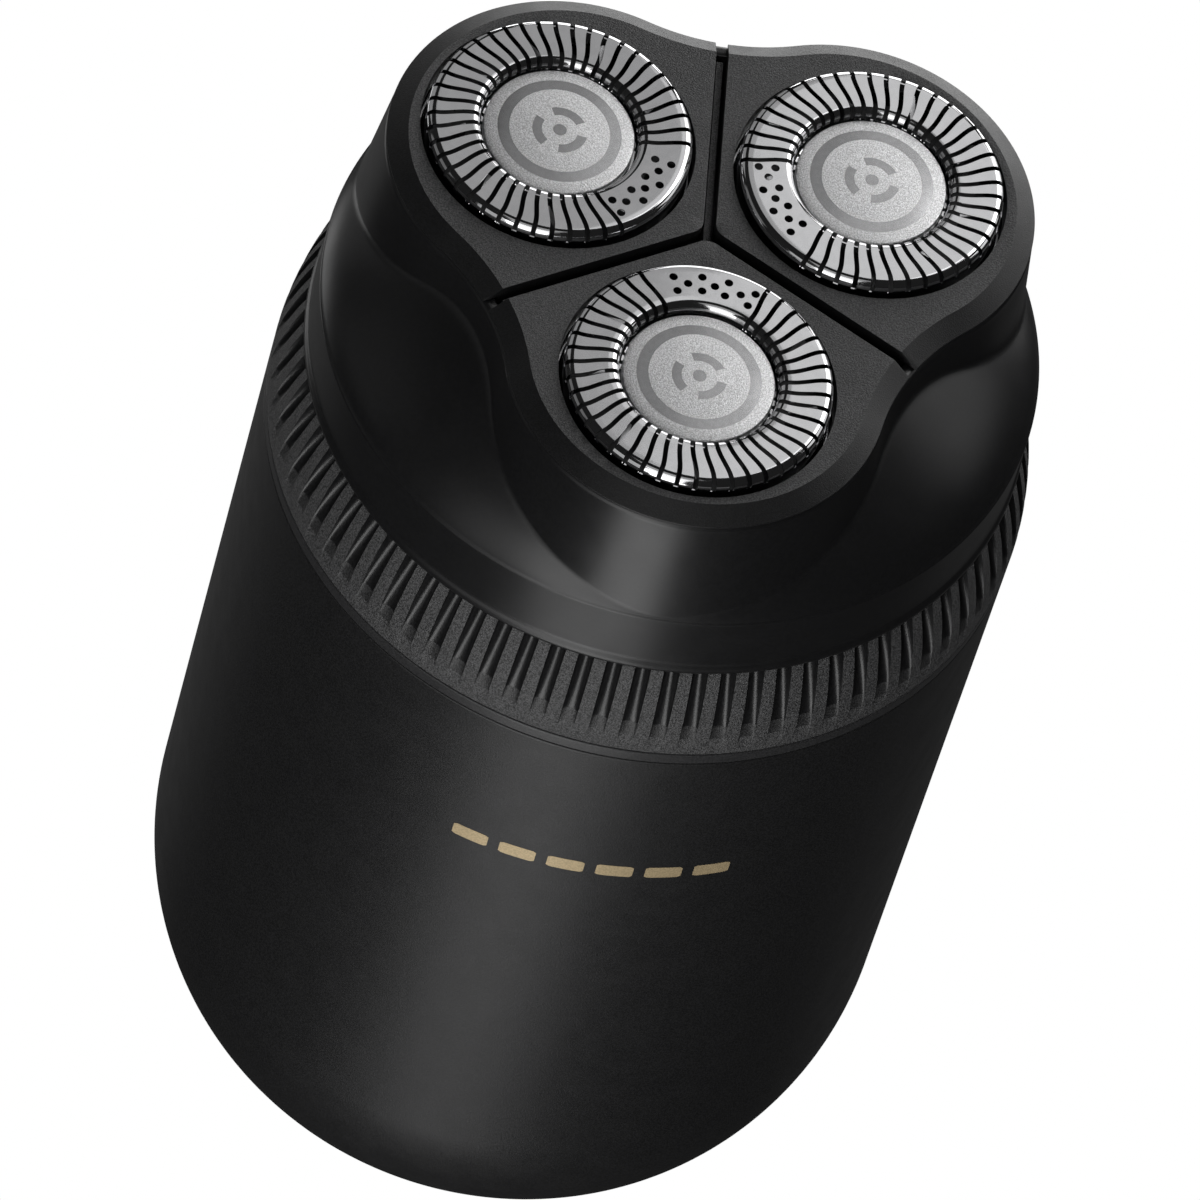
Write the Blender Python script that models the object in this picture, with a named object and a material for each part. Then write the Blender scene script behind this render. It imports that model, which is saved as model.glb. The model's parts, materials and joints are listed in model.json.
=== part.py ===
"""Compact three-head rotary shaver.

Lengths below are in millimetres and become metres when a mesh is made. +Z is up, the origin is
the centre of the flat base, and head 1 lies towards -Y. Heights named ..._Z are measured from
the base. Each sub-part is one object; a moving one has its origin on its joint's axis.
"""

import math

import bmesh
import bpy
from mathutils import Matrix, Vector

MM = 0.001
TAU = 2 * math.pi

# Handle: an aluminium cup with an elliptical bottom corner.
BODY_R = 28.0
BODY_WALL = 1.5
BODY_TOP_Z = 72.6
BASE_R = 12.6
CORNER_H = 20.0
FLOOR = 1.8

# Rings between the handle and the head.
TRIM_Z = (72.8, 73.7)
TWIST_Z = (73.9, 81.9)
TWIST_TOP_R = 26.4
TWIST_BORE_R = 24.85
FLUTES = 80
FLUTE_DEPTH = 0.8
FLUTE_START_Z = 75.2
NECK_R = (23.6, 24.5)
NECK_TOP_Z = 84.5

# Chassis and what it carries.
DECK_Z = (68.0, 70.0)
DECK_R = 26.1
CRADLE_R = (9.5, 11.0)
CRADLE_Z = (5.0, 38.0)
BATTERY_R = 9.2
MOTOR_R = 12.0
MOTOR_Z = (39.6, 67.4)
BOSS_R = 3.8
SHAFT_R = 0.95
SHAFT_Z = (58.4, 77.2)
BOARD_Y = (19.2, 20.2)
PORT_Z = 27.0
PORT_SIZE = (8.9, 3.2)

# Gear train: one pinion drives three gears, each with a sprung spindle.
HEAD_ANGLES = (-90.0, 30.0, 150.0)
HEAD_PITCH_R = 13.11
PINION_TEETH = 12
GEAR_TEETH = 32
GEAR_MODULE = 2 * HEAD_PITCH_R / (PINION_TEETH + GEAR_TEETH)
GEAR_Z = (72.6, 75.4)
PINION_Z = (71.2, 76.4)
WEB_TOP_Z = 73.9
HUB_R = 4.3
HUB_TOP_Z = 81.9
AXLE_R = 1.2
AXLE_TOP_Z = 77.4
SPINDLE_Z = (78.9, 96.4)
SPINDLE_FOOT_R = 3.1
SPINDLE_TIP_R = 1.9
SPRING_R = 2.2
SPRING_WIRE_R = 0.3
SPRING_TURNS = 4
COVER_Z = (82.3, 83.5)
COVER_R = 23.3
SCREW_PITCH_R = 18.5

# Head housing: a collar, a leaning dome and a three-lobed skirt that rises out of it.
RIM_Z = 100.0
COLLAR_Z = (82.2, 88.0)
COLLAR_R = 26.3
DOME = ((26.2, 88.0), (25.8, 90.2), (22.8, 92.6), (17.2, 96.1))
DOME_WALL = (1.3, 1.0)
SKIRT_TOP_Z = 97.95
SKIRT_FLARE = (0.105, 0.2)
SKIRT_WALL = 1.0
LOBE_PITCH_R = 11.4
LOBE_R = 13.7
FILLET_R = 17.0
WAIST_R = 17.77
PETAL_Z = (97.25, 98.14, 98.95)
PETAL_CHAMFER = 1.45
PETAL_STEP = 1.25
PETAL_CORNER_R = 1.2
GROOVE_HALF = 0.45
RIB_HALF = 0.25
RIB_Z = (94.8, 97.85)
RIB_REACH = 16.3
GUARD_BORE_R = 9.95
RETAINER_Z = (93.4, 94.6)
RETAINER_BORE_R = 8.9

# Cutting units.
GUARD_R = 9.63
FLANGE_R = 10.3
CAP_R = 5.48
BLADES = 9

# Facets round a turned piece.
WIDE = 40
MIDDLE = 24
NARROW = 12
HOUSING_COLUMNS = 54

FILLET_PITCH_R = LOBE_PITCH_R / 2 + math.sqrt(
    (LOBE_R + FILLET_R) ** 2 - (LOBE_PITCH_R * math.sin(math.radians(60))) ** 2
)
LOBE_END = math.atan2(
    FILLET_PITCH_R * math.sin(math.radians(60)),
    FILLET_PITCH_R * math.cos(math.radians(60)) - LOBE_PITCH_R,
)


def clear_scene():
    for obj in list(bpy.data.objects):
        bpy.data.objects.remove(obj, do_unlink=True)


def material(name, colour, roughness, metallic=0.0):
    found = bpy.data.materials.get(name)
    if found:
        return found
    made = bpy.data.materials.new(name)
    made.use_nodes = True
    shader = made.node_tree.nodes["Principled BSDF"]
    shader.inputs["Base Color"].default_value = (*colour, 1.0)
    shader.inputs["Roughness"].default_value = roughness
    shader.inputs["Metallic"].default_value = metallic
    return made


def anodised():
    return material("anodised_black", (0.012, 0.012, 0.013), 0.42, 0.6)


def black_plastic():
    return material("black_plastic", (0.02, 0.02, 0.021), 0.4)


def frame_plastic():
    return material("frame_plastic", (0.1, 0.1, 0.105), 0.5)


def gear_plastic():
    return material("gear_plastic", (0.82, 0.82, 0.78), 0.45)


def steel():
    return material("polished_steel", (0.6, 0.6, 0.61), 0.2, 1.0)


def rubber():
    return material("rubber", (0.03, 0.03, 0.03), 0.8)


# --- mesh makers, in millimetres -------------------------------------------------------------


def loft(section, columns):
    """A body round Z. section(angle) lists (radius, height) round one closed loop, and always
    as many points. A point of radius 0 is shared by all columns, so a loop with two such
    points closes on the axis."""
    mesh = bmesh.new()
    poles = {}
    rows = []
    for column in range(columns):
        angle = TAU * column / columns
        row = []
        for index, (radius, height) in enumerate(section(angle)):
            if radius == 0:
                if index not in poles:
                    poles[index] = mesh.verts.new((0, 0, height))
                row.append(poles[index])
            else:
                x = radius * math.cos(angle)
                y = radius * math.sin(angle)
                row.append(mesh.verts.new((x, y, height)))
        rows.append(row)
    skin(mesh, rows)
    return mesh


def skin(mesh, rows):
    """Faces between neighbouring rows of vertices; each row is a closed loop, and so is the
    list of rows."""
    for first, second in zip(rows, rows[1:] + rows[:1]):
        for index in range(len(first)):
            after = (index + 1) % len(first)
            corners = (first[index], first[after], second[after], second[index])
            corners = list(dict.fromkeys(corners))
            if len(corners) > 2:
                mesh.faces.new(corners)
    bmesh.ops.recalc_face_normals(mesh, faces=mesh.faces)


def turned(profile, columns):
    return loft(lambda angle: profile, columns)


def prism(outline, low, high):
    """An outline of (x, y) points, extruded along Z."""
    mesh = bmesh.new()
    bottom = [mesh.verts.new((x, y, low)) for x, y in outline]
    top = [mesh.verts.new((x, y, high)) for x, y in outline]
    mesh.faces.new(bottom)
    mesh.faces.new(top)
    for index in range(len(outline)):
        after = (index + 1) % len(outline)
        mesh.faces.new((bottom[index], bottom[after], top[after], top[index]))
    bmesh.ops.recalc_face_normals(mesh, faces=mesh.faces)
    return mesh


def drill(radius, low, high, columns=NARROW):
    """A cutter that goes through everything between two heights."""
    profile = [(0, low - 1), (radius, low - 1), (radius, high + 1), (0, high + 1)]
    return turned(profile, columns)


def block(low, high):
    outline = ((low[0], low[1]), (high[0], low[1]), (high[0], high[1]), (low[0], high[1]))
    return prism(outline, low[2], high[2])


def group(meshes):
    """Several separate bodies in one mesh, for a cutter or an addition."""
    mesh = bmesh.new()
    for other in meshes:
        held = bpy.data.meshes.new("held")
        other.to_mesh(held)
        other.free()
        mesh.from_mesh(held)
        bpy.data.meshes.remove(held)
    return mesh


def moved(mesh, place, turn=0.0):
    matrix = Matrix.Translation(place) @ Matrix.Rotation(math.radians(turn), 4, "Z")
    bmesh.ops.transform(mesh, matrix=matrix, verts=mesh.verts)
    return mesh


def polar(radius, degrees):
    angle = math.radians(degrees)
    return (radius * math.cos(angle), radius * math.sin(angle), 0.0)


# --- objects ---------------------------------------------------------------------------------


def place(name, mesh, finish, parent=None, at=(0, 0, 0), turn=0.0, smooth=35.0):
    """An object from a mesh in millimetres, put at a point of its parent's frame."""
    bmesh.ops.scale(mesh, vec=(MM, MM, MM), verts=mesh.verts)
    data = bpy.data.meshes.new(name)
    mesh.to_mesh(data)
    mesh.free()
    data.materials.append(finish)
    data.shade_smooth()
    data.set_sharp_from_angle(angle=math.radians(smooth))
    obj = bpy.data.objects.new(name, data)
    obj.location = Vector(at) * MM
    obj.rotation_euler.z = math.radians(turn)
    obj.parent = parent
    bpy.context.scene.collection.objects.link(obj)
    return obj


def helper(name, mesh, finish, parent=None):
    obj = place(name, mesh, finish, parent)
    obj.hide_render = True
    obj.display_type = "WIRE"
    return obj


def boolean(obj, operation, other):
    modifier = obj.modifiers.new(operation.lower(), "BOOLEAN")
    modifier.operation = operation
    modifier.solver = "EXACT"
    modifier.object = other


def axis_empty(name, at=(0, 0, 0), parent=None, turn=0.0):
    empty = bpy.data.objects.new(name, None)
    empty.empty_display_size = 4 * MM
    empty.location = Vector(at) * MM
    empty.rotation_euler.z = math.radians(turn)
    empty.parent = parent
    bpy.context.scene.collection.objects.link(empty)
    return empty


# --- the three-lobed outline -----------------------------------------------------------------


def clover_radius(angle, inset=0.0):
    """Distance from the shaver's axis to the lobed outline, at an angle from +X."""
    front = math.radians(HEAD_ANGLES[1])
    third = TAU / 3
    off = abs((angle - front + third / 2) % third - third / 2)
    lobe_x = LOBE_PITCH_R + LOBE_R * math.cos(LOBE_END)
    lobe_y = LOBE_R * math.sin(LOBE_END)
    if off < math.atan2(lobe_y, lobe_x):
        rise = LOBE_PITCH_R * math.sin(off)
        return LOBE_PITCH_R * math.cos(off) + math.sqrt((LOBE_R - inset) ** 2 - rise**2)
    off = third / 2 - off
    rise = FILLET_PITCH_R * math.sin(off)
    return FILLET_PITCH_R * math.cos(off) - math.sqrt((FILLET_R + inset) ** 2 - rise**2)


def arc(centre, radius, start, end, steps):
    """steps + 1 points from start to end, both angles in radians."""
    angles = (start + (end - start) * step / steps for step in range(steps + 1))
    return [(centre[0] + radius * math.cos(a), centre[1] + radius * math.sin(a)) for a in angles]


def petal_outline(inset, side_inset):
    """One petal seen from above, its lobe towards +X and the shaver's axis at the origin.
    inset moves the lobe and the fillets in, and side_inset the two straight sides."""
    sixty = math.radians(60)
    gap = GROOVE_HALF + side_inset
    inner = (gap + PETAL_CORNER_R) / math.sin(sixty)
    corner = arc((inner, 0), PETAL_CORNER_R, math.pi, math.radians(150), 3)
    fillet_r = FILLET_R + inset
    centre = (FILLET_PITCH_R * math.cos(sixty), FILLET_PITCH_R * math.sin(sixty))
    start = sixty + math.pi + math.asin(gap / fillet_r)
    end = math.atan2(-centre[1], LOBE_PITCH_R - centre[0]) + TAU
    fillet = arc(centre, fillet_r, start, end, 4)
    lobe = arc((LOBE_PITCH_R, 0), LOBE_R - inset, LOBE_END, 0, 9)
    side = between(corner[-1], fillet[0], 5)
    half = corner + side + fillet + lobe[1:]
    return half + [(x, -y) for x, y in half[-2:0:-1]]


def between(start, end, steps):
    """The points that divide a straight run into equal steps, without its ends."""
    run = (end[0] - start[0], end[1] - start[1])
    shares = (step / steps for step in range(1, steps))
    return [(start[0] + run[0] * share, start[1] + run[1] * share) for share in shares]


# --- gears -----------------------------------------------------------------------------------


def tooth_outline(teeth, phase=0.0):
    """Straight-sided teeth; a tooth is centred on the angle phase."""
    pitch_r = teeth * GEAR_MODULE / 2
    root = pitch_r - 1.2 * GEAR_MODULE
    tip = pitch_r + 0.95 * GEAR_MODULE
    shape = ((-0.34, root), (-0.13, tip), (0.13, tip), (0.34, root))
    points = []
    for tooth in range(teeth):
        for share, radius in shape:
            angle = phase + TAU * (tooth + share) / teeth
            points.append((radius * math.cos(angle), radius * math.sin(angle)))
    return points


# --- handle ----------------------------------------------------------------------------------


def corner_curve(radius, base_r, low, high, steps):
    """An elliptical quarter from the base's edge up to the straight wall."""
    angles = (math.pi / 2 * step / steps for step in range(steps + 1))
    return [
        (base_r + (radius - base_r) * math.sin(a), high - (high - low) * math.cos(a))
        for a in angles
    ]


def stadium(width, height, middle, steps):
    """A slot's outline in X and Z, as (x, z) points."""
    radius = height / 2
    reach = width / 2 - radius
    right = arc((reach, middle), radius, -math.pi / 2, math.pi / 2, steps)
    left = arc((-reach, middle), radius, math.pi / 2, 1.5 * math.pi, steps)
    return right + left


def along_y(outline, low, high):
    """An (x, z) outline extruded along Y."""
    mesh = prism(outline, low, high)
    for vert in mesh.verts:
        x, z, y = vert.co
        vert.co = (x, y, z)
    bmesh.ops.recalc_face_normals(mesh, faces=mesh.faces)
    return mesh


def body_shell(handle):
    outer = corner_curve(BODY_R, BASE_R, 0, CORNER_H, 7)
    inner = corner_curve(BODY_R - BODY_WALL, BASE_R - 1, FLOOR, CORNER_H + 0.5, 5)
    profile = [(0, 0)] + outer + [(BODY_R, BODY_TOP_Z), (BODY_R - BODY_WALL, BODY_TOP_Z)]
    profile += inner[::-1] + [(0, FLOOR)]
    shell = place("body_shell", turned(profile, WIDE), anodised(), handle)
    opening = stadium(PORT_SIZE[0] + 0.5, PORT_SIZE[1] + 0.5, PORT_Z, 4)
    cutter = helper("cut_port", along_y(opening, 24, 30), anodised(), handle)
    boolean(shell, "DIFFERENCE", cutter)


def trim_ring(handle):
    low, high = TRIM_Z
    profile = [(TWIST_BORE_R, low), (BODY_R, low), (BODY_R, high), (TWIST_BORE_R, high)]
    place("trim_ring", turned(profile, WIDE), anodised(), handle)


def inner_frame(handle):
    """Deck and neck in one turned piece, with a battery cup hung from it on two arms."""
    low, high = DECK_Z
    inside, outside = NECK_R
    bore = BOSS_R + 0.4
    profile = [(bore, low), (DECK_R, low), (DECK_R, high), (outside, high)]
    profile += [(outside, NECK_TOP_Z), (inside, NECK_TOP_Z), (inside, high), (bore, high)]
    frame = place("inner_frame", turned(profile, WIDE), frame_plastic(), handle)
    pillar = [(0, 69.5), (2.3, 69.5), (2.3, 82.1), (1.05, 82.1), (1.05, 74), (0, 74)]
    pillars = [
        moved(turned(pillar, NARROW), polar(SCREW_PITCH_R, angle + 60)) for angle in HEAD_ANGLES
    ]
    foot, mouth = CRADLE_Z
    wall, rim = CRADLE_R
    cup = [(0, foot), (rim, foot), (rim, mouth), (wall, mouth), (wall, foot + 1.2)]
    cup.append((0, foot + 1.2))
    for name, mesh in (
        ("add_pillars", group(pillars)),
        ("add_cup", turned(cup, MIDDLE)),
        ("add_arm_left", arm_outline(-1)),
        ("add_arm_right", arm_outline(1)),
    ):
        boolean(frame, "UNION", helper(name, mesh, frame_plastic(), handle))
    seat = [(0, 68.6), (1.35, 68.6), (1.35, 71), (0, 71)]
    holes = [moved(turned(seat, NARROW), polar(HEAD_PITCH_R, angle)) for angle in HEAD_ANGLES]
    boolean(frame, "DIFFERENCE", helper("cut_axle_seats", group(holes), steel(), handle))


def arm_outline(side):
    """An L-shaped arm from the deck, past the motor, to the battery cup."""
    outline = ((10.4, 31), (14.4, 31), (14.4, 69), (12.6, 69), (12.6, 37), (10.4, 37))
    return along_y([(side * x, z) for x, z in outline], -4, 4)


def battery_cell(handle):
    low = CRADLE_Z[0] + 1.5
    profile = [(0, low), (BATTERY_R, low), (BATTERY_R, 38.2), (8.6, 38.6), (3, 38.6)]
    profile += [(3, 39.2), (0, 39.2)]
    finish = material("battery_wrap", (0.05, 0.16, 0.3), 0.35)
    place("battery_cell", turned(profile, MIDDLE), finish, handle)


def motor_can(handle):
    low, high = MOTOR_Z
    bore = SHAFT_R + 0.2
    profile = [(0, low), (MOTOR_R, low), (MOTOR_R, high - 1.2), (MOTOR_R - 0.8, high)]
    profile += [(BOSS_R, high), (BOSS_R, 69.2), (bore, 69.2), (bore, 58), (0, 58)]
    place("motor_can", turned(profile, MIDDLE), steel(), handle)


def electronics(handle):
    low, high = BOARD_Y
    board = material("circuit_board", (0.02, 0.2, 0.08), 0.4)
    place("circuit_board", block((-12, low, 18), (12, high, 62)), board, handle)
    sensor = block((-2, 22.2, 66.4), (2, 24.8, 67.8))
    place("ring_sensor", sensor, black_plastic(), handle)
    width, height = PORT_SIZE
    tube = along_y(stadium(width, height, PORT_Z, 4), 20.5, 27.4)
    port = place("charge_port", tube, steel(), handle)
    cavity = stadium(width - 0.7, height - 0.7, PORT_Z, 4)
    boolean(port, "DIFFERENCE", helper("cut_cavity", along_y(cavity, 21.2, 29), steel(), handle))
    tongue = block((-3.3, 21.0, PORT_Z - 0.35), (3.3, 26.4, PORT_Z + 0.35))
    boolean(port, "UNION", helper("add_tongue", tongue, steel(), handle))


def body_seal(handle):
    ring = arc((25.5, 71.05), 0.8, 0, TAU, 6)[:-1]
    place("body_seal", turned(ring, MIDDLE), rubber(), handle)


def gear_axles(handle):
    for number, angle in enumerate(HEAD_ANGLES, 1):
        profile = [(0, 68.75), (AXLE_R, 68.75), (AXLE_R, AXLE_TOP_Z - 0.3)]
        profile += [(AXLE_R - 0.3, AXLE_TOP_Z), (0, AXLE_TOP_Z)]
        at = polar(HEAD_PITCH_R, angle)
        place(f"gear_axle_{number}", turned(profile, NARROW), steel(), handle, at)


def gear_cover(handle):
    low, high = COVER_Z
    disc = prism(arc((0, 0), COVER_R, 0, TAU, WIDE)[:-1], low, high)
    cover = place("gear_cover", disc, frame_plastic(), handle)
    holes = []
    for angle in HEAD_ANGLES:
        for radius, reach, turn in ((4.0, HEAD_PITCH_R, 0), (1.25, SCREW_PITCH_R, 60)):
            holes.append(moved(drill(radius, low, high), polar(reach, angle + turn)))
    boolean(cover, "DIFFERENCE", helper("cut_cover_holes", group(holes), steel(), handle))


def cover_screws(handle):
    seat = COVER_Z[1] + 0.2
    profile = [(0, 75), (0.85, 75), (0.85, seat), (1.9, seat), (1.9, seat + 1.2)]
    profile += [(0.85, seat + 1.2), (0.85, seat + 0.5), (0, seat + 0.5)]
    for number, angle in enumerate(HEAD_ANGLES, 1):
        at = polar(SCREW_PITCH_R, angle + 60)
        place(f"cover_screw_{number}", turned(profile, NARROW), steel(), handle, at)


# --- switch ring -----------------------------------------------------------------------------


def twist_ring():
    """A cone whose flutes start above its lower edge and run out through its top edge."""
    axis = axis_empty("axis_twist", (0, 0, TWIST_Z[0]))
    low, high = TWIST_Z
    span = high - low

    def section(angle):
        groove = round(angle / TAU * 2 * FLUTES) % 2

        def outer(height, depth):
            cone = BODY_R + (TWIST_TOP_R - BODY_R) * (height - low) / span
            return (cone - groove * depth, height - low)

        points = [(TWIST_BORE_R, 0), outer(low, 0), outer(FLUTE_START_Z, 0)]
        points += [outer(FLUTE_START_Z + 1.2, FLUTE_DEPTH * 0.75), outer(high, FLUTE_DEPTH)]
        return points + [(TWIST_BORE_R, span)]

    ring = place("twist_ring", loft(section, 2 * FLUTES), black_plastic(), axis, smooth=20)
    pocket = turned([(0, -1), (1.0, -1), (1.0, 1.5), (0, 1.5)], NARROW)
    cutter = helper("cut_magnet_pocket", moved(pocket, (0, 26.2, 0)), steel(), axis)
    boolean(ring, "DIFFERENCE", cutter)
    magnet = turned([(0, 0.05), (0.85, 0.05), (0.85, 1.3), (0, 1.3)], NARROW)
    place("ring_magnet", magnet, steel(), axis, (0, 26.2, 0))


# --- drive -----------------------------------------------------------------------------------


def rotor():
    axis = axis_empty("axis_motor")
    low, high = SHAFT_Z
    shaft = [(0, low), (SHAFT_R, low), (SHAFT_R, high), (0, high)]
    place("motor_shaft", turned(shaft, NARROW), steel(), axis)
    low, high = PINION_Z
    bore = SHAFT_R + 0.2
    mesh = bmesh.new()
    rows = []
    for x, y in tooth_outline(PINION_TEETH):
        inner = Vector((x, y)).normalized() * bore
        loop = ((inner.x, inner.y, low), (x, y, low), (x, y, high), (inner.x, inner.y, high))
        rows.append([mesh.verts.new(point) for point in loop])
    skin(mesh, rows)
    place("motor_pinion", mesh, gear_plastic(), axis, turn=HEAD_ANGLES[0])


def drive_gear(number, angle):
    """Returns the gear's axis, which its spindle and its spring ride on."""
    axis = axis_empty(f"axis_gear_{number}", polar(HEAD_PITCH_R, angle), turn=angle)
    low, high = GEAR_Z
    phase = math.pi + math.pi / GEAR_TEETH
    toothed = prism(tooth_outline(GEAR_TEETH, phase), low, high)
    gear = place(f"drive_gear_{number}", toothed, gear_plastic(), axis)
    hub = turned([(0, low + 0.3), (HUB_R, low + 0.3), (HUB_R, HUB_TOP_Z), (0, HUB_TOP_Z)], NARROW)
    boolean(gear, "UNION", helper(f"add_hub_{number}", hub, gear_plastic(), axis))
    bore = AXLE_R + 0.4
    socket = SPINDLE_FOOT_R + 0.25
    hollow = [(0, low - 1), (bore, low - 1), (bore, WEB_TOP_Z), (socket, WEB_TOP_Z)]
    hollow += [(socket, HUB_TOP_Z + 1), (0, HUB_TOP_Z + 1)]
    boolean(gear, "DIFFERENCE", helper(f"cut_bore_{number}", turned(hollow, 6), steel(), axis))
    return axis


def spindle_spring(number, axis):
    """A coil of square-sided wire round the axle, between the gear's web and the spindle."""
    steps = 8 * SPRING_TURNS
    low = WEB_TOP_Z + 0.2 + SPRING_WIRE_R
    high = SPINDLE_Z[0] - 0.2 - SPRING_WIRE_R
    mesh = bmesh.new()
    loops = []
    for step in range(steps + 1):
        share = step / steps
        angle = TAU * SPRING_TURNS * share
        height = low + (high - low) * share
        loop = []
        for corner in range(4):
            around = TAU * corner / 4
            radius = SPRING_R + SPRING_WIRE_R * math.cos(around)
            z = height + SPRING_WIRE_R * math.sin(around)
            loop.append(mesh.verts.new((radius * math.cos(angle), radius * math.sin(angle), z)))
        loops.append(loop)
    for first, second in zip(loops, loops[1:]):
        for corner in range(4):
            after = (corner + 1) % 4
            mesh.faces.new((first[corner], first[after], second[after], second[corner]))
    mesh.faces.new(loops[0])
    mesh.faces.new(loops[-1])
    bmesh.ops.recalc_face_normals(mesh, faces=mesh.faces)
    place(f"spindle_spring_{number}", mesh, steel(), axis)


def drive_spindle(number, axis):
    low, high = SPINDLE_Z
    profile = [(0, low), (SPINDLE_FOOT_R, low), (SPINDLE_FOOT_R, 84.6), (SPINDLE_TIP_R, 86.5)]
    profile += [(SPINDLE_TIP_R, high - 0.5), (SPINDLE_TIP_R - 0.7, high), (0, high)]
    place(f"drive_spindle_{number}", turned(profile, 6), gear_plastic(), axis)


# --- head ------------------------------------------------------------------------------------


def dome_point(share):
    """A point of the dome's profile, from the collar's crease (0) to the waist (1)."""
    back = 1 - share
    weights = (back**3, 3 * back**2 * share, 3 * back * share**2, share**3)
    radius = sum(w * point[0] for w, point in zip(weights, DOME))
    height = sum(w * point[1] for w, point in zip(weights, DOME))
    return radius, height


def skirt_radius(angle, height):
    """The skirt leans out towards its foot, and more at the waists than at the lobes."""
    top = clover_radius(angle)
    lobe_flare, waist_flare = SKIRT_FLARE
    share = (LOBE_PITCH_R + LOBE_R - top) / (LOBE_PITCH_R + LOBE_R - WAIST_R)
    flare = lobe_flare + (waist_flare - lobe_flare) * share
    return top + flare * (SKIRT_TOP_Z - height)


def dome_end(angle):
    """The share of the dome's profile at which the skirt comes out of it."""
    low, high = 0.0, 1.0
    for _ in range(30):
        middle = (low + high) / 2
        radius, height = dome_point(middle)
        if radius > skirt_radius(angle, height):
            low = middle
        else:
            high = middle
    return max(low, 0.02)


def housing_section(angle):
    end = dome_end(angle)
    points = [(COLLAR_R, COLLAR_Z[0])]
    points += [dome_point(end * step / 6) for step in range(7)]
    crease = points[-1][1]
    for share in (0.5, 1.0):
        height = crease + (SKIRT_TOP_Z - crease) * share
        points.append((skirt_radius(angle, height), height))
    inside = clover_radius(angle, SKIRT_WALL)
    points += [(inside, SKIRT_TOP_Z), (inside, crease - DOME_WALL[1] + 0.5)]
    for step in (4, 2, 0):
        radius, height = dome_point(end * step / 6)
        points.append((radius - DOME_WALL[0], height - DOME_WALL[1]))
    return points + [(COLLAR_R - 1.5, COLLAR_Z[0])]


def shoulder_housing(head):
    place("shoulder_housing", loft(housing_section, HOUSING_COLUMNS), black_plastic(), head)


def retainer_frame(head):
    """The plate under the guards, open round each cutter."""
    low, high = RETAINER_Z
    outline = []
    for column in range(HOUSING_COLUMNS):
        angle = TAU * column / HOUSING_COLUMNS
        reach = clover_radius(angle, SKIRT_WALL + 0.4)
        outline.append((reach * math.cos(angle), reach * math.sin(angle)))
    frame = place("retainer_frame", prism(outline, low, high), frame_plastic(), head)
    drills = [
        moved(drill(RETAINER_BORE_R, low, high, MIDDLE), polar(HEAD_PITCH_R, angle))
        for angle in HEAD_ANGLES
    ]
    boolean(frame, "DIFFERENCE", helper("cut_retainer", group(drills), steel(), head))


def y_divider(head):
    """The thin rib that stands in the groove between the petals."""
    outline = []
    for angle in HEAD_ANGLES:
        corner = polar(RIB_HALF / math.sin(math.radians(60)), angle)
        outline.append(corner[:2])
        along = Vector(polar(1, angle + 60)[:2])
        across = Vector((-along.y, along.x)) * RIB_HALF
        outline.append(tuple(along * RIB_REACH - across))
        outline.append(tuple(along * RIB_REACH + across))
    place("y_divider", prism(outline, *RIB_Z), black_plastic(), head)


def petal(number, angle, head):
    """A chamfered plate with a step that drops inside the skirt and a bore for its guard."""
    under, edge, top = PETAL_Z
    step = petal_outline(PETAL_STEP, 0.05)
    rim = petal_outline(0, 0)
    crown = petal_outline(PETAL_CHAMFER, 0.04)
    mesh = bmesh.new()
    rows = []
    for inner, outer, upper in zip(step, rim, crown):
        spoke = Vector((outer[0] - HEAD_PITCH_R, outer[1])).normalized() * GUARD_BORE_R
        bore = (spoke.x + HEAD_PITCH_R, spoke.y)
        loop = ((bore, under), (inner, under), (inner, edge), (outer, edge), (upper, top), (bore, top))
        rows.append([mesh.verts.new((x - HEAD_PITCH_R, y, z)) for (x, y), z in loop])
    skin(mesh, rows)
    place(f"petal_{number}", mesh, black_plastic(), head, polar(HEAD_PITCH_R, angle), angle)


def guard(number, angle, head):
    """The fixed comb, a channel closed by a floor, and the disc that caps its middle."""
    axis = axis_empty(f"axis_guard_{number}", (*polar(HEAD_PITCH_R, angle)[:2], RIM_Z), head, angle)
    outer = [(1.3, -1.9), (6.1, -1.9), (6.1, -0.75), (6.5, -0.4), (8.85, -0.4), (9.3, -0.75)]
    outer += [(9.3, -3.8), (FLANGE_R, -3.8), (FLANGE_R, -3.3), (GUARD_R, -3.3), (GUARD_R, -0.6)]
    outer += [(9.45, -0.2), (9.0, 0), (6.35, 0), (5.9, -0.2), (5.75, -0.6), (5.75, -1.5)]
    outer.append((1.3, -1.5))
    place(f"guard_{number}", turned(outer, MIDDLE), steel(), axis)
    cap = [(0, -2.1), (1.0, -2.1), (1.0, -1.3), (CAP_R, -1.3), (CAP_R, -0.6), (CAP_R - 0.1, -0.5)]
    cap.append((0, -0.5))
    satin = material("satin_silver", (0.5, 0.5, 0.51), 0.35, 1.0)
    place(f"cap_disc_{number}", turned(cap, MIDDLE), satin, axis)
    return axis


def hexagon_radius(angle, corner_r):
    sixth = TAU / 6
    off = angle % sixth - sixth / 2
    return corner_r * math.cos(sixth / 2) / math.cos(off)


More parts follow.
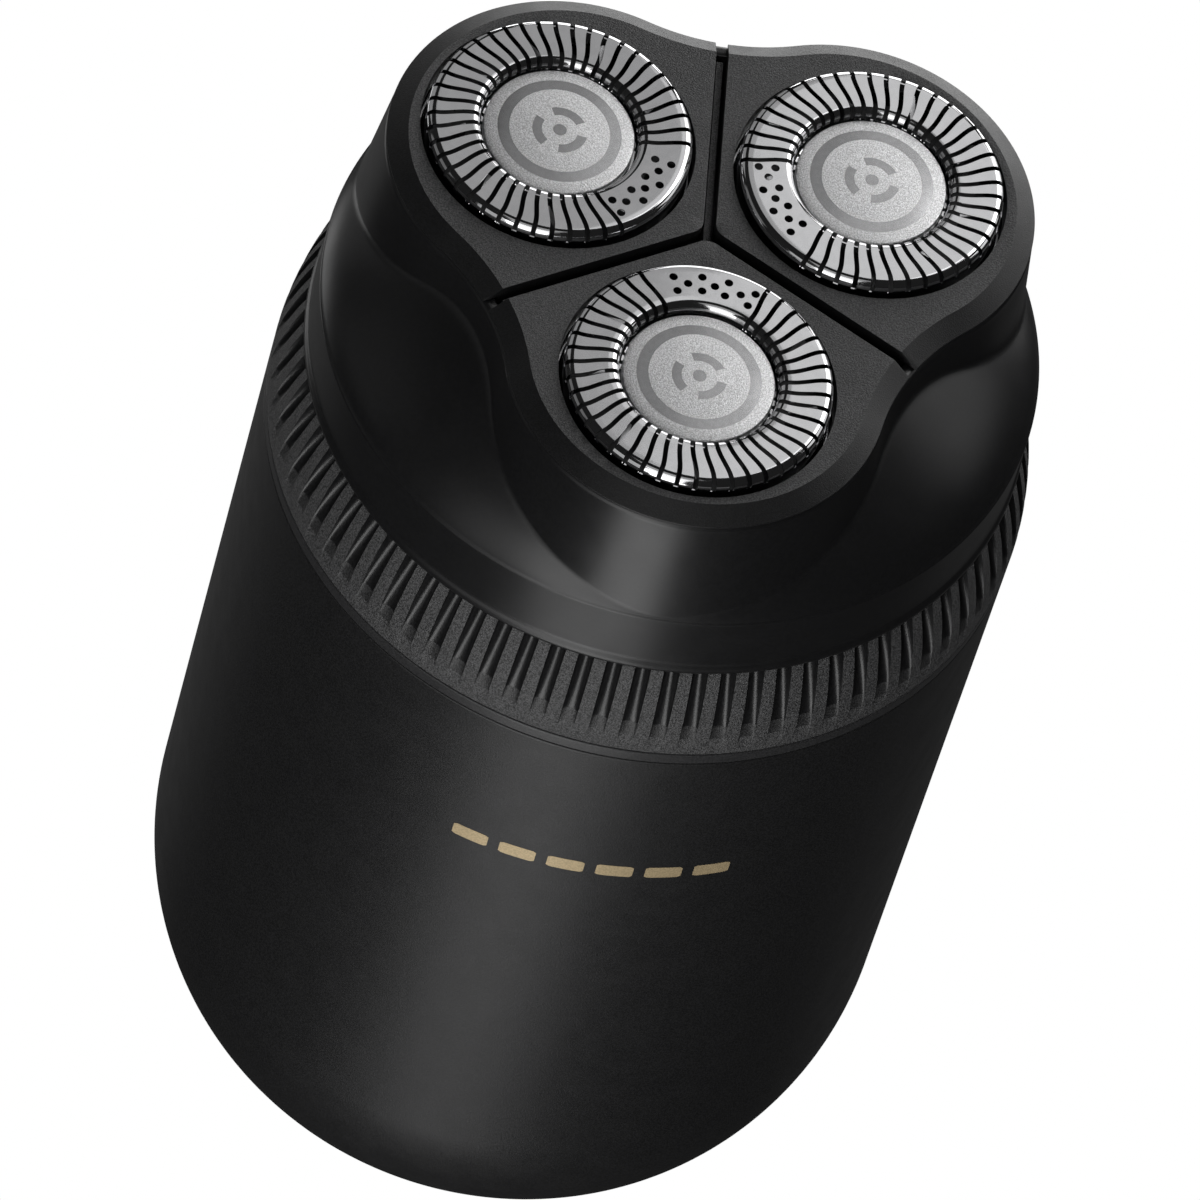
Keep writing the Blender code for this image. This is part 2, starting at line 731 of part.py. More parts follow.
def cutter(number, guard_axis):
    """A carrier with a hexagonal socket under it and a ring of slanted blades on it."""
    axis = axis_empty(f"axis_cutter_{number}", parent=guard_axis)

    def section(angle):
        socket = hexagon_radius(angle, SPINDLE_TIP_R + 0.35)
        points = [(0, -3.35), (socket, -3.35), (socket, -5.4), (3.6, -5.4), (3.6, -3.5)]
        return points + [(9.0, -3.5), (9.0, -2.7), (0, -2.7)]

    disc = place(f"cutter_{number}", loft(section, MIDDLE), steel(), axis)
    blades = []
    for blade in range(BLADES):
        fin = block((-1.15, -0.22, -3.0), (1.15, 0.22, -0.65))
        turn = Matrix.Rotation(math.radians(25), 4, "Z")
        bmesh.ops.transform(fin, matrix=turn, verts=fin.verts)
        turned_by = 360 * blade / BLADES
        blades.append(moved(moved(fin, (7.75, 0, 0)), (0, 0, 0), turned_by))
    boolean(disc, "UNION", helper(f"add_blades_{number}", group(blades), steel(), axis))


def build():
    clear_scene()
    handle = axis_empty("handle")
    body_shell(handle)
    trim_ring(handle)
    inner_frame(handle)
    battery_cell(handle)
    motor_can(handle)
    electronics(handle)
    body_seal(handle)
    gear_axles(handle)
    gear_cover(handle)
    cover_screws(handle)
    twist_ring()
    rotor()
    head = axis_empty("axis_head")
    shoulder_housing(head)
    retainer_frame(head)
    y_divider(head)
    for number, angle in enumerate(HEAD_ANGLES, 1):
        gear_axis = drive_gear(number, angle)
        spindle_spring(number, gear_axis)
        drive_spindle(number, gear_axis)
        petal(number, angle, head)
        guard_axis = guard(number, angle, head)
        cutter(number, guard_axis)


build()
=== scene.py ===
"""Looks of the compact three-head rotary shaver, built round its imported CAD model.

Lengths are in millimetres until a mesh is made, +Z is up and the handle stands on Z = 0. Head 1
lies towards -Y. Directions to the camera and the lights are an azimuth, 0 from the front and
growing towards +X, and an elevation.
"""

import json
import math

import bmesh
import bpy
from mathutils import Matrix, Vector


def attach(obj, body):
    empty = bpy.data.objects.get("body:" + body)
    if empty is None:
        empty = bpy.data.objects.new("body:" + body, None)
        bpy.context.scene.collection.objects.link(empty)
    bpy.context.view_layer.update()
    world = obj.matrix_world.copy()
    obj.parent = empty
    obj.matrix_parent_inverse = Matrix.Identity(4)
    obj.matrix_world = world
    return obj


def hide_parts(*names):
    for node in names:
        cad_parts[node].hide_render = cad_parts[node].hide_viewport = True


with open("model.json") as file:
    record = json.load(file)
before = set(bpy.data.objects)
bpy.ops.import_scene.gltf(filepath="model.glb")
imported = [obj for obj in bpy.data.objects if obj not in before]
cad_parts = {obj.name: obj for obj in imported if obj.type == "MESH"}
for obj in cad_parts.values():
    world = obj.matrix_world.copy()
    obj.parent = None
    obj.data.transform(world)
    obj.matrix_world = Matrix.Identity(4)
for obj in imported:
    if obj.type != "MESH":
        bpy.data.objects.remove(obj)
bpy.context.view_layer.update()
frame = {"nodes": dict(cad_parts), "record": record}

MM = 0.001
TAU = 2 * math.pi
SIXTY = math.radians(60)
HEADS = {1: -90.0, 2: 30.0, 3: 150.0}

# Handle, with the height of its round corner and the radius of the flat it stands on.
BODY_R = 27.98
BODY_BORE_R = 26.5
BODY_BORE_Z = 21.0
BODY_SIDE_Z = 60.0
BODY_TOP_Z = 72.68
BODY_FLOOR = (11.6, 1.8)
BASE_R = 12.6
CORNER_H = 20.0
CORNER_STEPS = 44
EDGE_R = 0.14
BAND_COLUMNS = 256

# Charging inlet in the back. Rims and sleeves are (widening, Y) pairs of its outline.
PORT_Z = 27.0
PORT_SIZE = (9.4, 3.7)
PORT_CUT_Y = (24.0, 30.0)
PORT_RIM = ((0.0, 27.25), (0.0, 27.65), (0.75, 28.4))
SLEEVE_SIZE = (8.9, 3.2)
SLEEVE = ((0.0, 20.6), (0.0, 26.95), (-0.1, 27.15), (-0.25, 27.15), (-0.35, 26.95), (-0.35, 21.2))
TONGUE_HALF = (3.3, 0.35)
TONGUE_R = 0.2
TONGUE_Y = (21.25, 26.3)
CONTACTS = 8
CONTACT_X = -2.45
CONTACT_PITCH = 0.7
CONTACT_HALF = 0.17
CONTACT_THICK = 0.04
CONTACT_RISES = (-0.38, 0.34)
CONTACT_Y = (22.5, 25.9)
TONGUE_BEVEL = 0.08

# Printed mark: bars set round the front of the handle, in degrees.
MARK_BARS = 6
MARK_Z = 58.5
MARK_R = (27.9, 27.995)
MARK_HEIGHT = 1.3
MARK_WIDTH = 5.6
MARK_PITCH = 7.42
MARK_START = -107.7
MARK_STEPS = 12
MARK_ROUND = 0.14

# Trim band and twist ring, whose radii are at its foot and its upper edge. The columns of a flute
# are counted from its middle: FLUTE_EDGE is its edge and FLUTE_SIDE is on the land beside it.
# Painted shade, a darker colour in place of the shadow in a flute, starts at each of SHADE_DEPTHS.
TRIM_Z = (72.76, 73.82)
TRIM_EASE = 0.1
RING_Z = (73.88, 82.1)
RING_R = (27.98, 26.36)
RING_BORE_R = 24.85
RING_CURVE_Z = 74.8
RING_CURVE = 1.7
RING_FOOT_R = 0.22
RING_FOOT_H = 0.4
RING_EASES = (0.15, 0.3)
RING_LIP = 0.1
FLUTES = 80
FLUTE_START_Z = 74.6
FLUTE_END_H = 0.9
FLUTE_HALF = 0.58
FLUTE_DEPTH = 1.05
FLUTE_GROWTH = 1.25
FLUTE_RISES = (0.003, 0.03, 0.09, 0.2, 0.35, 0.55, 0.8, 1.2, 1.7, 2.4)
FLUTE_STEPS = 9
FLUTE_EDGE = 5
FLUTE_SIDE = 6
SHADE_DEPTHS = (0.09, 0.23)

# Head housing. Pairs are (radius, height), and those of the lip count from COLLAR_R and LIP_Z.
# DOME lists the control points of its curve. The skirt leans out by SKIRT_FLARE for each
# millimetre down, at the lobes and at the waists.
COLLAR_R = 26.3
LIP_Z = 82.15
LIP = ((-1.5, 0.1), (-1.4, 0.0), (0.17, 0.0), (0.24, 0.07), (0.22, 0.3))
LIP_BEND = ((0.16, 0.5), (0.0, 0.72), (0.0, 1.0))
CREASE_Z = 87.98
CREASE_RUN = 0.18
CREASE_INSET = 0.02
DOME = ((26.2, 88.0), (25.5, 90.1), (22.8, 92.6), (17.2, 96.1))
DOME_STEPS = 16
DOME_WALL = (1.3, 1.0)
DOME_LEAST = 0.02
DOME_EASE = 0.045
HALVINGS = 30
BACK_DIP = 1.7
BACK_DIP_SPAN = 50.0
SKIRT_TOP_Z = 97.95
SKIRT_FLARE = (0.105, 0.2)
SKIRT_WALL = 1.0
SKIRT_FOOT = 0.3
SKIRT_STEPS = 8
SKIRT_DROP = 0.5
RIM_ROUND = 0.5
RIM_LEAN = 0.1
RIM_EASE = 0.1
HOUSING_COLUMNS = 432
HEAD_PITCH_R = 13.11
LOBE_PITCH_R = 11.4
LOBE_R = 13.7
FILLET_R = 17.0
WAIST_R = 17.77

# Petals and rib. PETAL_Z lists the underside, the step, the foot of the chamfer and the top, and
# PETAL_STEPS the points along a petal's corner, side, fillet and lobe.
PETAL_Z = (97.25, 98.04, 98.14, 98.95)
PETAL_CHAMFER = 1.45
PETAL_STEP = 1.25
PETAL_CORNER_R = 1.2
PETAL_UNDERCUT = 0.05
PETAL_BEVEL = 0.05
PETAL_STEPS = (6, 16, 14, 36)
PETAL_TOP_COLUMN = 5
GROOVE_HALF = 0.45
RIB_HALF = 0.25
RIB_Z = (94.8, 97.85)
RIB_REACH = 16.3
BORE_R = 9.98

# Cutting units. Pairs are (radius, height), with heights from the rim at RIM_Z. The slots span
# SLOT_SPAN degrees to each side of the outermost point, and HOLES lists rows of round holes, each
# a radius and its angles. The faces between CAP_RINGS are polished all round or in arcs.
RIM_Z = 100.0
GUARD_WALL = 0.1
GUARD_FLANGE = ((10.25, -3.75), (10.25, -3.45), (9.8, -3.45), (9.68, -3.3), (9.66, -2.2), (9.65, -1.3))
GUARD_SIDE = (9.64, -0.85)
GUARD_TOP = (8.7, 8.3, 7.9, 7.5, 7.1, 6.7)
GUARD_ROUND = 0.6
GUARD_ROUND_R = (9.03, 6.35)
GUARD_FLOOR = ((5.75, -0.95), (5.75, -1.5), (5.6, -1.62), (1.3, -1.62))
SLOTS = 39
SLOT_SPAN = 150.0
SLOT_HALF = 0.18
SLOT_TURN = 3.3
SLOT_TURN_R = (6.2, 8.95)
SLOT_STEPS = 3
SECTOR_STEPS = 28
HOLE_R = 0.31
HOLE_Z = (-0.5, 0.4)
HOLE_STEPS = 28
HOLES = (
    (8.33, (155.2, 169.4, 182.7, 197.1)),
    (7.7, (161.6, 175.9, 190.3)),
    (7.12, (155.2, 169.4, 182.7, 197.1)),
)
CAP_R = 5.48
CAP_TOP = -0.42
CAP_SAG = 0.24
CAP_EDGE_R = 0.12
CAP_UNDER = ((CAP_R, -1.3), (1.0, -1.3), (1.0, -2.1), (0.0, -2.1))
CAP_RINGS = (0.0, 0.5, 0.9, 1.3, 1.65, 2.0, 2.6, 3.2, 3.65, 4.05, 4.5, 4.95)
CAP_BRIGHT_RINGS = (0, 8, 9)
CAP_ARC_RINGS = (3, 4)
CAP_ARCS = 3
CAP_ARC_COLUMNS = 27
CAP_COLUMNS = 120
CARRIER = (
    (0, -3.1, 0),
    (2.2, -3.1, 0.1),
    (2.2, -5.3, 0.1),
    (3.5, -5.3, 0.3),
    (3.5, -3.5, 0.3),
    (8.9, -3.5, 0.15),
    (8.9, -2.8, 0.15),
    (0, -2.8, 0),
)
CARRIER_COLUMNS = 72
BLADES = 9
BLADE_R = 7.7
BLADE_SLANT = 25.0
BLADE_Z = (-2.9, -0.68)
BLADE_SECTION = ((-1.15, -0.2, 0.05), (1.15, -0.2, 0.05), (1.0, 0.2, 0.05), (-1.0, 0.2, 0.05))

# Studio. Each light has a name, azimuth, elevation, size and radiance.
LIGHT_DISTANCE = 500
LIGHT_AIM = (0, 0, 75)
LIGHTS = (
    ("front_low", -10, -44, (210, 200), 1.75),
    ("front", -10, -23, (210, 200), 3.3),
    ("front_middle", -14, 11, (260, 400), 2.75),
    ("front_high", -10, 44, (210, 210), 1.5),
    ("front_top", -10, 67, (220, 220), 0.4),
    ("front_left", -40, 11, (200, 400), 0.52),
    ("front_right", 20, -23, (200, 200), 0.1),
    ("right_side", 106, 24, (210, 210), 0.95),
    ("right_behind", 138, 22, (200, 200), 2.0),
    ("right_high", 134, 44, (210, 210), 3.7),
    ("right_back_low", 140, 0, (200, 200), 1.2),
    ("behind", 170, 20, (200, 240), 2.2),
    ("behind_low", 168, -5, (420, 200), 3.2),
    ("left_back_low", -130, -23, (200, 200), 1.1),
    ("left_back", -145, 14, (400, 400), 0.3),
    ("left_side", -95, 16, (260, 300), 0.16),
    ("left_table", -150, -50, (300, 200), 0.08),
    ("right_table", 130, -50, (300, 200), 0.04),
)

# Narrow lights close above the head, each with a name, radiance and aim.
NEAR_AWAY = (170, 53)
NEAR_DISTANCE = 260
NEAR_SIZE = (50, 150)
NEAR_LIGHTS = (
    ("near_right", 1.5, (74, -13, 100)),
    ("near_middle", 0.8, (25, -4, 100)),
    ("near_left", 0.42, (-25, 4, 100)),
)
ROOM_GLOW = 0.016
FLOOR_R = 4000
FLOOR_Z = (-1.0, -0.05)
FLOOR_STEPS = 64

# Camera: the azimuth and elevation it stands at, and the point it aims at.
CAMERA_AWAY = (-10.38, 53.94)
CAMERA_AIM = (-1.43, -9.84, 66.35)
CAMERA_DISTANCE = 871.6
CAMERA_ROLL = 17.34
CAMERA_LENS = 359.1
CAMERA_SENSOR = 36
CAMERA_CLIP = 20

# The head's outline: the fillets' distance from the axis, and the angle at which a lobe ends.
FILLET_PITCH_R = LOBE_PITCH_R / 2 + math.sqrt(
    (LOBE_R + FILLET_R) ** 2 - (LOBE_PITCH_R * math.sin(SIXTY)) ** 2
)
LOBE_END = math.atan2(
    FILLET_PITCH_R * math.sin(SIXTY), FILLET_PITCH_R * math.cos(SIXTY) - LOBE_PITCH_R
)


# --- materials -------------------------------------------------------------------------------


# The size of the patches of gloss, and that of the flecks of tone as a share of the grain.
PATCH = 2.5
FLECK = 1.3
NOISE_MIDDLE = (0.3, 0.7)
TINT_STOPS = (0.4, 0.6)
METAL = 1.0
PRINT_METAL = 0.35


def noise(tree, size):
    """Noise with features of about this size, in millimetres."""
    coordinates = tree.nodes.new("ShaderNodeTexCoord")
    texture = tree.nodes.new("ShaderNodeTexNoise")
    texture.inputs["Scale"].default_value = 1 / (size * MM)
    tree.links.new(coordinates.outputs["Object"], texture.inputs["Vector"])
    return texture.outputs[0]


def spread(tree, value, low, high, socket):
    """Maps the middle of a noise onto low..high and feeds it to a shader's socket."""
    ranged = tree.nodes.new("ShaderNodeMapRange")
    ranged.inputs["From Min"].default_value = NOISE_MIDDLE[0]
    ranged.inputs["From Max"].default_value = NOISE_MIDDLE[1]
    ranged.inputs["To Min"].default_value = low
    ranged.inputs["To Max"].default_value = high
    tree.links.new(value, ranged.inputs["Value"])
    tree.links.new(ranged.outputs["Result"], socket)


def tint(tree, value, dark, light, socket):
    """Colours a surface between dark and light by the middle of a noise."""
    ramp = tree.nodes.new("ShaderNodeValToRGB")
    for stop, position, colour in zip(ramp.color_ramp.elements, TINT_STOPS, (dark, light)):
        stop.position = position
        stop.color = (*colour, 1)
    tree.links.new(value, ramp.inputs["Fac"])
    tree.links.new(ramp.outputs["Color"], socket)


def finish(name, colour, roughness, grain, tone, metallic=0.0):
    """A surface with fine bumps, whose gloss drifts by patches and whose tone varies from fleck
    to fleck by a share of its colour. roughness is a (low, high) pair and grain the (size,
    height) of the bumps in millimetres."""
    made = bpy.data.materials.new(name)
    made.use_nodes = True
    tree = made.node_tree
    shader = tree.nodes["Principled BSDF"]
    shader.inputs["Metallic"].default_value = metallic
    size, height = grain
    dark = [channel * (1 - tone) for channel in colour]
    light = [channel * (1 + tone) for channel in colour]
    tint(tree, noise(tree, size * FLECK), dark, light, shader.inputs["Base Color"])
    spread(tree, noise(tree, PATCH), *roughness, shader.inputs["Roughness"])
    bump = tree.nodes.new("ShaderNodeBump")
    bump.inputs["Strength"].default_value = 1.0
    bump.inputs["Distance"].default_value = height * MM
    tree.links.new(noise(tree, size), bump.inputs["Height"])
    tree.links.new(bump.outputs["Normal"], shader.inputs["Normal"])
    return made


anodised = finish("anodised_black", (0.012, 0.012, 0.0125), (0.38, 0.44), (0.11, 0.016), 0.4)
trim_black = finish("trim_black", (0.03, 0.03, 0.031), (0.36, 0.42), (0.1, 0.008), 0.3)
ring_black = finish("ring_black", (0.062, 0.062, 0.063), (0.48, 0.54), (0.1, 0.08), 0.6)
# The next two are darker copies of the ring's finish for inside the flutes; their darker colour is
# painted shade.
ring_painted_shade = finish("ring_painted_shade", (0.03, 0.03, 0.0305), (0.4, 0.46), (0.1, 0.045), 0.5)
ring_painted_deep_shade = finish("ring_painted_deep_shade", (0.009, 0.009, 0.0095), (0.28, 0.33), (0.1, 0.012), 0.45)
satin_black = finish("satin_black", (0.0095, 0.0095, 0.01), (0.3, 0.34), (0.25, 0.0015), 0.1)
petal_top = finish("petal_top", (0.05, 0.05, 0.051), (0.5, 0.58), (0.1, 0.05), 0.5)
petal_edge = finish("petal_edge", (0.008, 0.008, 0.0085), (0.4, 0.46), (0.1, 0.02), 0.4)
polished = finish("polished_steel", (0.62, 0.62, 0.63), (0.07, 0.11), (0.6, 0.0006), 0.02, METAL)
satin_silver = finish("satin_silver", (0.56, 0.56, 0.565), (0.36, 0.42), (0.08, 0.03), 0.24, METAL)
inlay = finish("inlay_steel", (0.38, 0.38, 0.385), (0.16, 0.2), (0.3, 0.0008), 0.03, METAL)
machined = finish("machined_steel", (0.5, 0.5, 0.51), (0.24, 0.34), (0.2, 0.002), 0.06, METAL)
moulded = finish("moulded_grey", (0.03, 0.03, 0.032), (0.42, 0.5), (0.2, 0.008), 0.15)
acetal = finish("acetal", (0.8, 0.8, 0.76), (0.4, 0.5), (0.3, 0.003), 0.03)
silicone = finish("silicone", (0.025, 0.025, 0.025), (0.6, 0.7), (0.2, 0.006), 0.2)
sleeve = finish("cell_sleeve", (0.04, 0.13, 0.26), (0.28, 0.36), (0.8, 0.01), 0.08)
mask = finish("solder_mask", (0.015, 0.16, 0.06), (0.3, 0.4), (0.4, 0.006), 0.2)
gold = finish("gold_print", (0.56, 0.44, 0.26), (0.4, 0.48), (0.12, 0.006), 0.1, PRINT_METAL)
contact_gold = finish("contact_gold", (0.85, 0.6, 0.25), (0.2, 0.28), (0.2, 0.001), 0.04, METAL)


# --- mesh makers, in millimetres -------------------------------------------------------------


def weave(rows, around=True, across=True, skip=lambda row, column: False):
    """Quads through a grid of points. With around the last row meets the first, and with
    across each row's last point meets its first. Returns the mesh and its faces by place."""
    mesh = bmesh.new()
    grid = [[mesh.verts.new(point) for point in row] for row in rows]
    faces = {}
    for row in range(len(grid) - (0 if around else 1)):
        first, second = grid[row], grid[(row + 1) % len(grid)]
        for column in range(len(first) - (0 if across else 1)):
            after = (column + 1) % len(first)
            if not skip(row, column):
                corners = (first[column], first[after], second[after], second[column])
                faces[row, column] = mesh.faces.new(corners)
    return mesh, faces


def loft(section, columns):
    """A closed body round Z; section(angle) lists (radius, height) round a closed loop."""
    rows = []
    for column in range(columns):
        angle = TAU * column / columns
        x, y = math.cos(angle), math.sin(angle)
        rows.append([(radius * x, radius * y, height) for radius, height in section(angle)])
    return weave(rows)[0]


def turned(corners, columns):
    """A closed body of revolution round Z through corners (radius, height, rounding)."""
    outline = rounded(corners)
    return loft(lambda angle: outline, columns)


def arc(centre, radius, start, end, steps):
    """Points along an arc between two angles in radians, with both its ends."""
    angles = (start + (end - start) * step / steps for step in range(steps + 1))
    return [(centre[0] + radius * math.cos(a), centre[1] + radius * math.sin(a)) for a in angles]


def rounded(corners, steps=5):
    """A closed outline through corners (x, y, radius), each turned by an arc of its radius."""
    outline = []
    for index, (x, y, radius) in enumerate(corners):
        here = Vector((x, y))
        if radius == 0:
            outline.append((x, y))
            continue
        before = (Vector(corners[index - 1][:2]) - here).normalized()
        after = (Vector(corners[(index + 1) % len(corners)][:2]) - here).normalized()
        half = before.angle(after) / 2
        centre = here + (before + after).normalized() * (radius / math.sin(half))
        start = here + before * (radius / math.tan(half)) - centre
        end = here + after * (radius / math.tan(half)) - centre
        first = math.atan2(start.y, start.x)
        sweep = (math.atan2(end.y, end.x) - first + math.pi) % TAU - math.pi
        outline += arc(centre, radius, first, first + sweep, steps)
    return outline


def between(start, end, steps):
    """The points that divide a straight run into equal steps, without its ends."""
    run = (end[0] - start[0], end[1] - start[1])
    shares = (step / steps for step in range(1, steps))
    return [(start[0] + run[0] * share, start[1] + run[1] * share) for share in shares]


def polar(radius, degrees, height=0.0):
    """The point at a radius from Z, at an angle from +X."""
    angle = math.radians(degrees)
    return Vector((radius * math.cos(angle), radius * math.sin(angle), height))


def smooth(share):
    """Eases a share from 0 to 1, level at both ends."""
    return share * share * (3 - 2 * share)


def prism(outline, low, high):
    """A closed body between two heights, the same outline all the way up."""
    mesh = bmesh.new()
    bottom = [mesh.verts.new((x, y, low)) for x, y in outline]
    top = [mesh.verts.new((x, y, high)) for x, y in outline]
    mesh.faces.new(bottom)
    mesh.faces.new(top)
    for index in range(len(outline)):
        after = (index + 1) % len(outline)
        mesh.faces.new((bottom[index], bottom[after], top[after], top[index]))
    return mesh


def along_y(mesh):
    """Stands a body made along Z up along Y: X stays, Y becomes Z and Z becomes Y."""
    for vert in mesh.verts:
        x, z, y = vert.co
        vert.co = (x, y, z)
    return mesh


def moved(mesh, offset=(0, 0, 0), turn=0.0):
    """Turns a body by some degrees about Z, then shifts it."""
    matrix = Matrix.Translation(offset) @ Matrix.Rotation(math.radians(turn), 4, "Z")
    bmesh.ops.transform(mesh, matrix=matrix, verts=mesh.verts)
    return mesh


def group(meshes):
    """Several separate bodies in one mesh."""
    mesh = bmesh.new()
    for other in meshes:
        held = bpy.data.meshes.new("held")
        other.to_mesh(held)
        other.free()
        mesh.from_mesh(held)
        bpy.data.meshes.remove(held)
    return mesh


def stadium(width, height, middle, steps=10):
    """An oblong outline with round ends, its middle on the Y axis at a height."""
    radius = height / 2
    reach = width / 2 - radius
    right = arc((reach, middle), radius, -math.pi / 2, math.pi / 2, steps)
    left = arc((-reach, middle), radius, math.pi / 2, 1.5 * math.pi, steps)
    return right + left


# --- objects ---------------------------------------------------------------------------------


WELD = 0.0005
BEVEL_ANGLE = 35
BEVEL_SEGMENTS = 2


def mesh_data(name, mesh, finishes, sharp):
    """Turns a body into mesh data in metres, smooth but for edges above an angle in degrees."""
    bmesh.ops.remove_doubles(mesh, verts=mesh.verts, dist=WELD)
    bmesh.ops.recalc_face_normals(mesh, faces=mesh.faces)
    bmesh.ops.scale(mesh, vec=(MM, MM, MM), verts=mesh.verts)
    data = bpy.data.meshes.new(name)
    mesh.to_mesh(data)
    mesh.free()
    for material in finishes:
        data.materials.append(material)
    data.shade_smooth()
    data.set_sharp_from_angle(angle=math.radians(sharp))
    return data


def place(name, data, at=(0, 0, 0), turn=0.0):
    """Makes an object at a point in millimetres, turned by some degrees about Z."""
    obj = bpy.data.objects.new(name, data)
    obj.location = Vector(at) * MM
    obj.rotation_euler.z = math.radians(turn)
    bpy.context.scene.collection.objects.link(obj)
    return obj


def join_frame(obj, body, nodes):
    """Rides obj on a body in place of some CAD nodes, with its large faces shaded flat."""
    normals = obj.modifiers.new("normals", "WEIGHTED_NORMAL")
    normals.keep_sharp = True
    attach(obj, body)
    if nodes:
        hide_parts(*nodes)
    return obj


def piece(name, mesh, finishes, body, nodes=(), sharp=30, cutters=(), bevel=0.0):
    """Makes a body of the frame out of one mesh. bevel is a width in millimetres."""
    data = mesh_data(name, mesh, finishes, sharp)
    obj = place(name, data)
    if cutters or bevel:
        obj.data = worked(obj, cutters, bevel, sharp)
    return join_frame(obj, body, nodes)


def worked(obj, cutters=(), bevel=0.0, sharp=30, thickness=0.0):
    """The mesh data of obj after it is thickened, cut and bevelled. Cutters are used up."""
    if thickness:
        solid = obj.modifiers.new("solid", "SOLIDIFY")
        solid.thickness = thickness * MM
        solid.use_even_offset = True
    blades = []
    for number, cutter in enumerate(cutters):
        blade = place(f"blade_{number}", mesh_data("blade", cutter, (), sharp))
        blades.append(blade)
        cut = obj.modifiers.new("cut", "BOOLEAN")
        cut.operation = "DIFFERENCE"
        cut.solver = "EXACT"
        cut.object = blade
    if bevel:
        edge = obj.modifiers.new("edge", "BEVEL")
        edge.width = bevel * MM
        edge.segments = BEVEL_SEGMENTS
        edge.limit_method = "ANGLE"
        edge.angle_limit = math.radians(BEVEL_ANGLE)
    graph = bpy.context.evaluated_depsgraph_get()
    data = bpy.data.meshes.new_from_object(obj.evaluated_get(graph), depsgraph=graph)
    data.name = obj.data.name
    obj.modifiers.clear()
    for blade in blades:
        bpy.data.objects.remove(blade, do_unlink=True)
    data.shade_smooth()
    data.set_sharp_from_angle(angle=math.radians(sharp))
    return data


# --- handle ----------------------------------------------------------------------------------


def body_shell():
    """A deep cup with a wide round corner and, in its back, the opening of the inlet."""
    angles = (math.pi / 2 * step / CORNER_STEPS for step in range(CORNER_STEPS + 1))
    corner = [
        (BASE_R + (BODY_R - BASE_R) * math.sin(angle), CORNER_H * (1 - math.cos(angle)))
        for angle in angles
    ]
    edge = [(BODY_R, BODY_SIDE_Z, 0), (BODY_R, BODY_TOP_Z, EDGE_R)]
    edge += [(BODY_BORE_R, BODY_TOP_Z, EDGE_R), (BODY_BORE_R, BODY_BORE_Z, 0)]
    profile = [(0, 0)] + corner + rounded(edge, 4) + [BODY_FLOOR, (0, BODY_FLOOR[1])]
    shell = loft(lambda angle: profile, BAND_COLUMNS)
    opening = along_y(prism(stadium(*PORT_SIZE, PORT_Z), *PORT_CUT_Y))
    rim = inlet_tube(PORT_SIZE, PORT_RIM)
    piece(
        "handle_shell", shell, [anodised], "handle", ["body_shell"],
        cutters=[opening, rim],
    )


def inlet_tube(size, rings):
    """A body along Y with the inlet's outline, widened and placed as its rings say."""
    rows = []
    for ease, depth in rings:
        outline = stadium(size[0] + 2 * ease, size[1] + 2 * ease, PORT_Z)
        rows.append([(x, z, depth) for x, z in outline])
    mesh = weave(rows, around=False)[0]
    bmesh.ops.holes_fill(mesh, edges=mesh.edges)
    return along_y(mesh)


def gold_mark():
    """A plain row of short bars printed on the front of the handle, each a thin curved tile."""
    inner, outer = MARK_R
    bars = []
    for number in range(MARK_BARS):
        middle = MARK_START + MARK_PITCH * number
        rows = []
        for step in range(MARK_STEPS + 1):
            across = 2 * step / MARK_STEPS - 1
            half = MARK_HEIGHT / 2 - MARK_ROUND * abs(across) ** 12
            angle = middle + across * MARK_WIDTH / 2
            loop = ((inner, -half), (inner, half), (outer, half), (outer, 0.0), (outer, -half))
            rows.append([polar(radius, angle, MARK_Z + height) for radius, height in loop])
        mesh = weave(rows, around=False)[0]
        bmesh.ops.holes_fill(mesh, edges=mesh.edges)
        bars.append(mesh)
    piece("gold_mark", group(bars), [gold], "handle")


def trim_ring():
    """A narrow band with the bore of the ring above it."""
    low, high = TRIM_Z
    corners = [(RING_BORE_R, low, TRIM_EASE), (BODY_R, low, EDGE_R)]
    corners += [(BODY_R, high, EDGE_R), (RING_BORE_R, high, TRIM_EASE)]
    band = turned(corners, BAND_COLUMNS)
    piece("trim_band", band, [trim_black], "handle", ["trim_ring"])


def charge_port():
    """A pressed metal sleeve with a rounded mouth, and a tongue that carries the contacts."""
    tube = inlet_tube(SLEEVE_SIZE, SLEEVE)
    piece("inlet_sleeve", tube, [machined], "handle", ["charge_port"])
    wide, high = TONGUE_HALF
    corners = [(-wide, PORT_Z - high, TONGUE_R), (wide, PORT_Z - high, TONGUE_R)]
    corners += [(wide, PORT_Z + high, TONGUE_R), (-wide, PORT_Z + high, TONGUE_R)]
    tongue = along_y(prism(rounded(corners), *TONGUE_Y))
    piece("inlet_tongue", tongue, [moulded], "handle", bevel=TONGUE_BEVEL)
    strips = []
    for number in range(CONTACTS):
        x = CONTACT_X + CONTACT_PITCH * number
        left, right = x - CONTACT_HALF, x + CONTACT_HALF
        for rise in CONTACT_RISES:
            low = PORT_Z + rise
            top = low + CONTACT_THICK
            strip = ((left, low), (right, low), (right, top), (left, top))
            strips.append(along_y(prism(strip, *CONTACT_Y)))
    piece("inlet_contacts", group(strips), [contact_gold], "handle")


# --- switch ring -----------------------------------------------------------------------------


def flute_shape(height):
    """Half the width and the depth of a flute, which is deepest at the ring's upper edge and
    runs out softly in a round end near the foot."""
    rise = height - FLUTE_START_Z
    share = rise / (RING_Z[1] - FLUTE_START_Z)
    reach = min(rise / FLUTE_END_H, 1)
    return FLUTE_HALF * math.sqrt(1 - (1 - reach) ** 2), FLUTE_DEPTH * share**FLUTE_GROWTH


